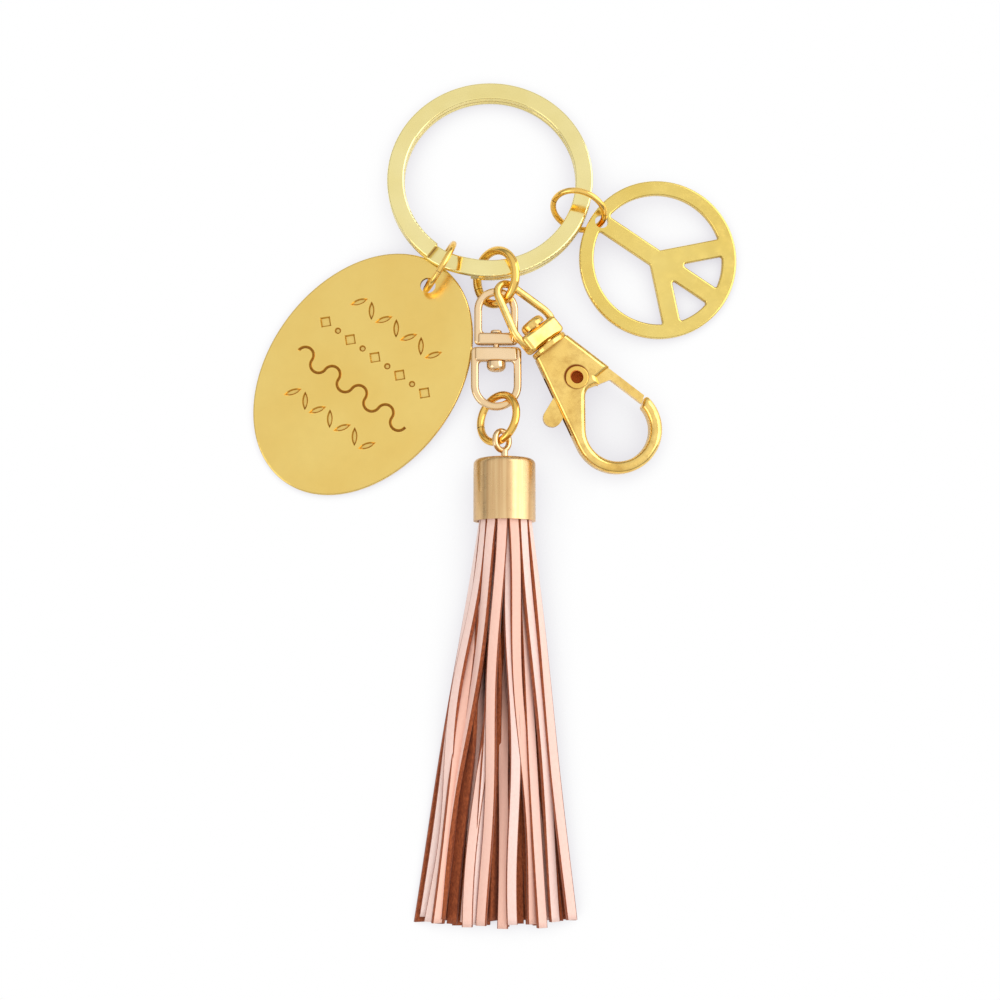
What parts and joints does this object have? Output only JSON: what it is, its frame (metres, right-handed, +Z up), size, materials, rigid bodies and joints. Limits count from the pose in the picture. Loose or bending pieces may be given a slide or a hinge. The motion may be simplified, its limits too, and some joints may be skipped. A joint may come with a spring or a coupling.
{
  "type": "split-ring keychain",
  "caption": "Split-ring keychain with an engraved oval tag, a peace-sign charm, a lobster swivel clasp and a leather tassel on a swivel.",
  "frame": {"origin": "middle of the laid-out chain's footprint, at the height of the table it lies on", "axes": "+Z up from the table, +Y along the chain from the tassel's tips to the split ring, +X to the clasp's side"},
  "size_m": [0.0822, 0.1426, 0.0104],
  "materials": {
    "ring_gold": "polished pale gold plate",
    "tag_gold": "polished gold plate, engraved",
    "charm_gold": "polished gold plate",
    "link_gold": "polished gold plate",
    "clasp_gold": "polished gold plate",
    "champagne_gold": "polished light gold plate",
    "pink_leather": "matt split leather, cut edges left raw",
    "spring_steel": "bright wire"
  },
  "bodies": {
    "root": {"split_ring": "ring_gold"},
    "tag_link": {"tag_jump_ring": "link_gold"},
    "tag": {"oval_tag": "tag_gold"},
    "charm_link": {"charm_jump_ring": "charm_gold"},
    "charm": {"peace_charm": "charm_gold"},
    "main_link": {"main_jump_ring": "link_gold"},
    "swivel_upper": {"swivel_upper_loop": "champagne_gold", "swivel_rivet": "champagne_gold"},
    "swivel_lower": {"swivel_lower_loop": "champagne_gold"},
    "tassel_link": {"tassel_jump_ring": "link_gold"},
    "tassel": {"tassel_cap": "champagne_gold", "tassel_eye_pin": "champagne_gold", "tassel_washer": "champagne_gold", "tassel_fringe": "pink_leather"},
    "clasp_bail": {"clasp_bail": "clasp_gold"},
    "clasp_body": {"clasp_body": "clasp_gold", "clasp_swivel_post": "clasp_gold", "clasp_pivot_eyelet": "clasp_gold", "clasp_lever_spring": "spring_steel"},
    "clasp_lever": {"clasp_lever": "clasp_gold"}
  },
  "joints": [
    {"name": "tag_link_swing", "type": "hinge", "parent": "root", "child": "tag_link", "pos_m": [-0.00873, 0.0398, 0.00437], "axis": [0.8767, -0.4787, 0.0469], "range_deg": [-75, 0]},
    {"name": "tag_swing", "type": "hinge", "parent": "tag_link", "child": "tag", "pos_m": [-0.01153, 0.03569, 0.00223], "axis": [-0.0229, -0.0315, 0.9992], "range_deg": [-15, 0]},
    {"name": "charm_link_swing", "type": "hinge", "parent": "root", "child": "charm_link", "pos_m": [0.01408, 0.04836, 0.00353], "axis": [0.3409, 0.9356, -0.0917], "range_deg": [-75, 0]},
    {"name": "charm_swing", "type": "hinge", "parent": "charm_link", "child": "charm", "pos_m": [0.01799, 0.04645, 0.0035], "axis": [0.3742, 0.3708, 0.85], "range_deg": [-5, 60]},
    {"name": "main_link_swing", "type": "hinge", "parent": "root", "child": "main_link", "pos_m": [0, 0.03786, 0.00456], "axis": [0.998, 0.0622, -0.0061], "range_deg": [-20, 0]},
    {"name": "swivel_swing", "type": "hinge", "parent": "main_link", "child": "swivel_upper", "pos_m": [-0.00002, 0.03225, 0.00364], "axis": [0.7176, -0.0832, 0.6915], "range_deg": [-30, 8]},
    {"name": "swivel_spin", "type": "hinge", "parent": "swivel_upper", "child": "swivel_lower", "pos_m": [0.00006, 0.025, 0.00355], "axis": [0, 0.9997, 0.0262], "continuous": true},
    {"name": "tassel_link_swing", "type": "hinge", "parent": "swivel_lower", "child": "tassel_link", "pos_m": [0.00006, 0.01476, 0.00329], "axis": [1, 0, 0], "range_deg": [-15, 0]},
    {"name": "tassel_swing", "type": "hinge", "parent": "tassel_link", "child": "tassel", "pos_m": [0.00085, 0.00874, 0.00543], "axis": [0.7201, 0.2955, 0.6277], "range_deg": [-40, 40]},
    {"name": "bail_swing", "type": "hinge", "parent": "main_link", "child": "clasp_bail", "pos_m": [0.00248, 0.03354, 0.00618], "axis": [0.4782, 0.7022, 0.5274], "range_deg": [-28, 28]},
    {"name": "clasp_spin", "type": "hinge", "parent": "clasp_bail", "child": "clasp_body", "pos_m": [0.00928, 0.02445, 0.00469], "axis": [0.6282, -0.773, -0.0889], "continuous": true},
    {"name": "lever_swing", "type": "hinge", "parent": "clasp_body", "child": "clasp_lever", "pos_m": [0.01343, 0.01934, 0.00411], "axis": [-0.0561, 0.069, -0.996], "range_deg": [0, 24], "stiffness_Nm_per_rad": 0.002, "springref_deg": -28.65}
  ]
}
